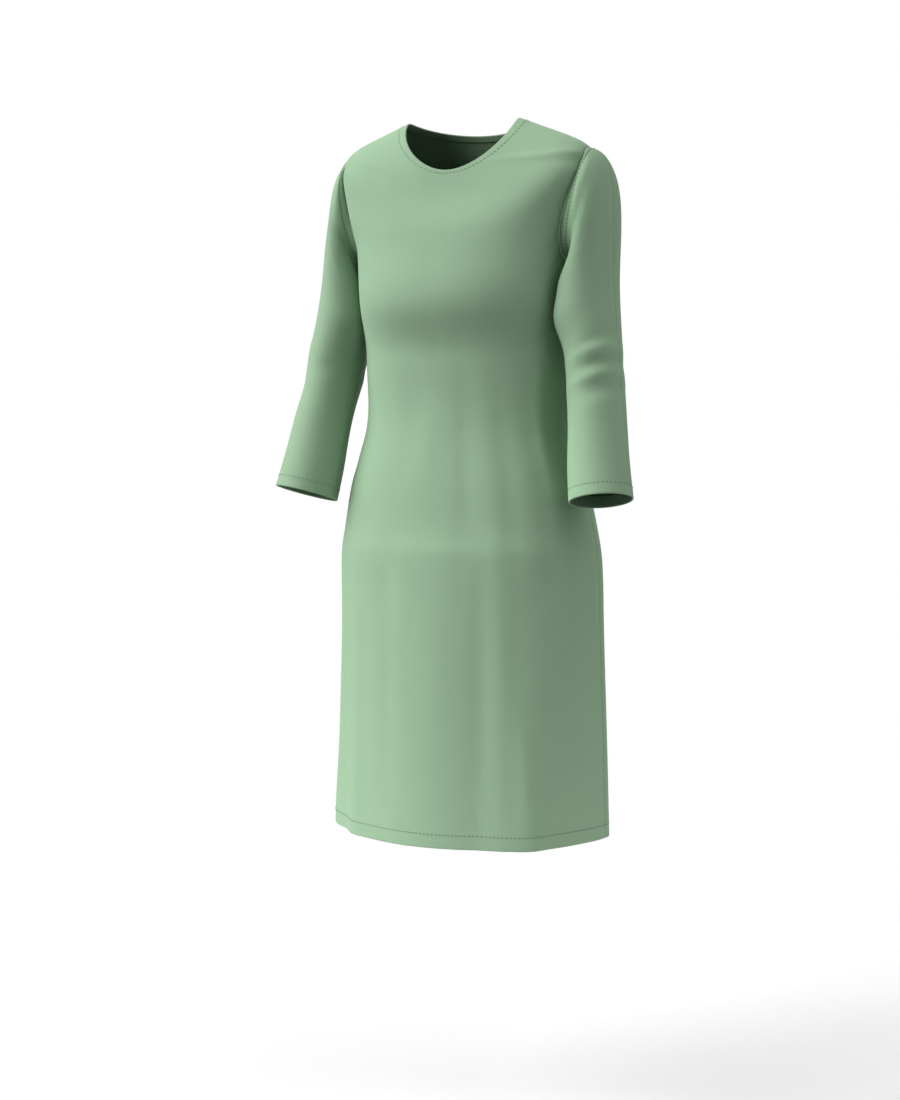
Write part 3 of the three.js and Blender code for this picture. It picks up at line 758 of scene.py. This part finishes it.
def knitMaterial():
    # Fine plain knit from the cut's flat places. Along a course the loops lean by |2 fract(across) - 1|, so
    # cosines of upwards plus lean draw V-shaped stitches, over soft mottling of three sizes.
    shader = Shader(bpy.data.materials.new("sageKnit"))
    flat = shader.node("UVMap", {"uv_map": "cut"})[0]
    flatX, flatY, _ = shader.node("SeparateXYZ", {}, {"Vector": flat})
    across = flatX / knit["waleWidth"]
    upwards = flatY / knit["courseHeight"]
    lean = (across.math("FRACT") * 2 - 1).math("ABSOLUTE")
    loop = ((upwards + lean * knit["loopLean"]) * (2 * math.pi)).math("COSINE")
    column = (across * (2 * math.pi)).math("COSINE").math("ABSOLUTE")
    stitch = (loop * 0.5 + 0.5) * (knit["columnLow"] + column * (1 - knit["columnLow"]))
    place = shader.objectPlace()
    fuzz = shader.noise(place, **knit["fuzz"])
    mottle = shader.noise(place, **knit["mottle"])
    broad = shader.noise(place, **knit["broad"])
    toneShares, bumpShares = knit["toneShares"], knit["bumpShares"]
    tone = mottle * toneShares["mottle"] + broad * toneShares["broad"] + stitch * toneShares["stitch"]
    rightSide = shader.mixColor(tone, knit["dark"], knit["light"])
    # The wrong side is painted darker, and the rim towards it: partly the knit's reverse side, partly painted
    # shade on the rim and the inner faces.
    wrongSideAndShade = tuple(part * knit["inside"] for part in knit["dark"][:3]) + (1,)
    inside = shader.node("Attribute", {"attribute_name": "inside"})[2] ** knit["insidePower"]
    height = stitch * bumpShares["stitch"] + fuzz * bumpShares["fuzz"]
    bump = {"Height": height, "Strength": knit["bumpStrength"], "Distance": knit["bump"]}
    return shader.surface({
        "Base Color": shader.mixColor(inside, rightSide, wrongSideAndShade),
        "Roughness": knit["roughness"][0] + mottle * knit["roughness"][1],
        "Normal": shader.node("Bump", {}, bump)[0],
        "Sheen Weight": knit["sheen"],
        "Sheen Roughness": knit["sheenRoughness"],
        "Specular IOR Level": knit["specular"],
    })


threadLook = {
    "dark": (0.055, 0.105, 0.06, 1),
    "light": (0.09, 0.16, 0.095, 1),
    "twist": {"scale": 1600, "detail": 2},
    "bump": 0.1 * mm,
    "bumpStrength": 0.4,
    "roughness": (0.55, 0.1),  # the least, and what the twist adds
}


def threadMaterial():
    # Slightly shiny thread, several shades deeper than the cloth, with a fine twist.
    shader = Shader(bpy.data.materials.new("sageThread"))
    twist = shader.noise(shader.objectPlace(), **threadLook["twist"])
    bump = {"Height": twist, "Strength": threadLook["bumpStrength"], "Distance": threadLook["bump"]}
    return shader.surface({
        "Base Color": shader.mixColor(twist, threadLook["dark"], threadLook["light"]),
        "Roughness": threadLook["roughness"][0] + twist * threadLook["roughness"][1],
        "Normal": shader.node("Bump", {}, bump)[0],
    })


knitCloth = knitMaterial()
sewingThread = threadMaterial()
for piece in [front, back, *sleeves.values()]:
    piece.data.materials.append(knitCloth)
for piece in stitches.values():
    piece.data.materials.append(sewingThread)
print("materials made")


# Every piece rides on the one body, and each panel takes the place of its own node.
nodes = {front: "front", back: "back"}
nodes.update({piece: f"sleeve_{side}_{part}" for (side, part), piece in sleeves.items()})
for piece, node in nodes.items():
    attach(piece, "root")
    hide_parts(node)
for piece in stitches.values():
    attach(piece, "root")


# The studio: a pale floor, a camera at the photograph's angle and soft lights.
view = {
    "azimuth": 25,
    "distance": 2.912,
    "height": -0.337,
    "pitch": 4.65,
    "lens": 70.5,
    "sensorWidth": 36,
    "axisShift": -0.0177,
    "farthest": 50,
}


def makeCamera():
    # On a circle round the dress, at its distance times the sine and cosine of the azimuth, tipped down.
    turned = math.radians(view["azimuth"])
    x, y = view["distance"] * math.sin(turned), -view["distance"] * math.cos(turned)
    data = bpy.data.cameras.new("camera")
    data.lens = view["lens"]
    data.sensor_width = view["sensorWidth"]
    data.sensor_fit = "AUTO"
    data.shift_x = view["axisShift"]
    data.clip_end = view["farthest"]
    camera = bpy.data.objects.new("camera", data)
    camera.location = (x, y, view["height"])
    camera.rotation_euler = (math.radians(90 - view["pitch"]), 0, turned)
    bpy.context.scene.collection.objects.link(camera)
    bpy.context.scene.camera = camera


# Lights: azimuth from the centre front towards the wearer's left, and elevation, in degrees. share is the
# light on a surface that faces it, where 1 shows a white surface as white. width is how large it looks, in
# degrees.
lights = {
    "key": {"azimuth": -56, "elevation": 31, "share": 1.35, "width": 56},
    "sideFill": {"azimuth": 88, "elevation": 25, "share": 0.36, "width": 60},
    "topFill": {"azimuth": 25, "elevation": 75, "share": 0.18, "width": 45},
    "backFill": {"azimuth": 190, "elevation": 30, "share": 0.3, "width": 50},
}


def softLight(name):
    # A far lamp, turned towards the dress. Its energy is its share times pi.
    light = lights[name]
    data = bpy.data.lights.new(name, "SUN")
    data.energy = light["share"] * math.pi
    data.angle = math.radians(light["width"])
    lamp = bpy.data.objects.new(name, data)
    lamp.rotation_euler = (math.radians(90 - light["elevation"]), 0, math.radians(light["azimuth"]))
    bpy.context.scene.collection.objects.link(lamp)


room = {
    "floorZ": -1.33,
    "floorRadius": 1.4,
    "floorSides": 96,
    "floorDark": (0.80, 0.80, 0.80, 1),
    "floorLight": (0.84, 0.84, 0.84, 1),
    "floorGrain": {"scale": 3, "detail": 2},
    "floorRoughness": 0.9,
    "fadeFrom": 0.5,  # the share of the radius at which the floor starts to fade out
    "level": 0.06,  # the strength of the room's light at the horizon
    "above": 0.05,  # what it gains straight up
    "below": 0.03,  # what it loses straight down
    "paper": 1.0,
    "paperFrom": 0.93,  # the cosine of the angle from straight ahead at which the paper starts
    "paperFade": 0.04,
    "paperDrop": 0.08,  # the paper's middle is so far below the horizon
    "paperHalfHeight": 0.42,
    "paperEdge": 0.15,
}


def makeFloor():
    # A round floor whose edge fades into the white paper behind it: its alpha falls evenly with the radius.
    turns = np.linspace(0, 2 * np.pi, room["floorSides"] + 1)[:-1]
    ring = np.stack([np.cos(turns), np.sin(turns), 0 * turns], -1) * room["floorRadius"]
    ring[:, 2] = room["floorZ"]
    floor = meshObject("floor", ring, [np.arange(room["floorSides"])[None]])
    shader = Shader(bpy.data.materials.new("paleFloor"))
    place = shader.objectPlace()
    x, y, _ = shader.node("SeparateXYZ", {}, {"Vector": place})
    radius = (x * x + y * y) ** 0.5 / room["floorRadius"]
    grain = shader.noise(place, **room["floorGrain"])
    floor.data.materials.append(shader.surface({
        "Base Color": shader.mixColor(grain, room["floorDark"], room["floorLight"]),
        "Roughness": room["floorRoughness"],
        "Alpha": limited((1 - radius) / (1 - room["fadeFrom"])),
    }))


def makeRoom():
    # A dim room that is lighter above than below, with white paper beyond the dress. Both come from the
    # direction (x, y, z) from the dress: its z, and the cosine of its level angle from straight ahead.
    shader = Shader(bpy.data.worlds.new("studio"))
    turned = math.radians(view["azimuth"])
    x, y, z = shader.node("SeparateXYZ", {}, {"Vector": shader.node("TexCoord")[0]})
    levelPart = (x * x + y * y + 0.0001) ** 0.5  # never 0, even straight up
    ahead = (y * math.cos(turned) - x * math.sin(turned)) / levelPart
    sideways = limited((ahead - room["paperFrom"]) / room["paperFade"])
    fromMiddle = (z + room["paperDrop"]).math("ABSOLUTE")
    upwards = limited((room["paperHalfHeight"] - fromMiddle) / room["paperEdge"])
    plain = z.math("MAXIMUM", 0.0) * room["above"] + z.math("MINIMUM", 0.0) * room["below"] + room["level"]
    paper = sideways * upwards
    strength = plain * (1 - paper) + paper * room["paper"]
    light = shader.node("Background", {}, {"Color": (1, 1, 1, 1), "Strength": strength})[0]
    shader.node("OutputWorld", {}, {"Surface": light})
    bpy.context.scene.world = shader.owner


makeCamera()
for name in lights:
    softLight(name)
makeFloor()
makeRoom()
bpy.context.scene.view_settings.view_transform = "Standard"  # shows the cloth's colour as it is
print("studio set")
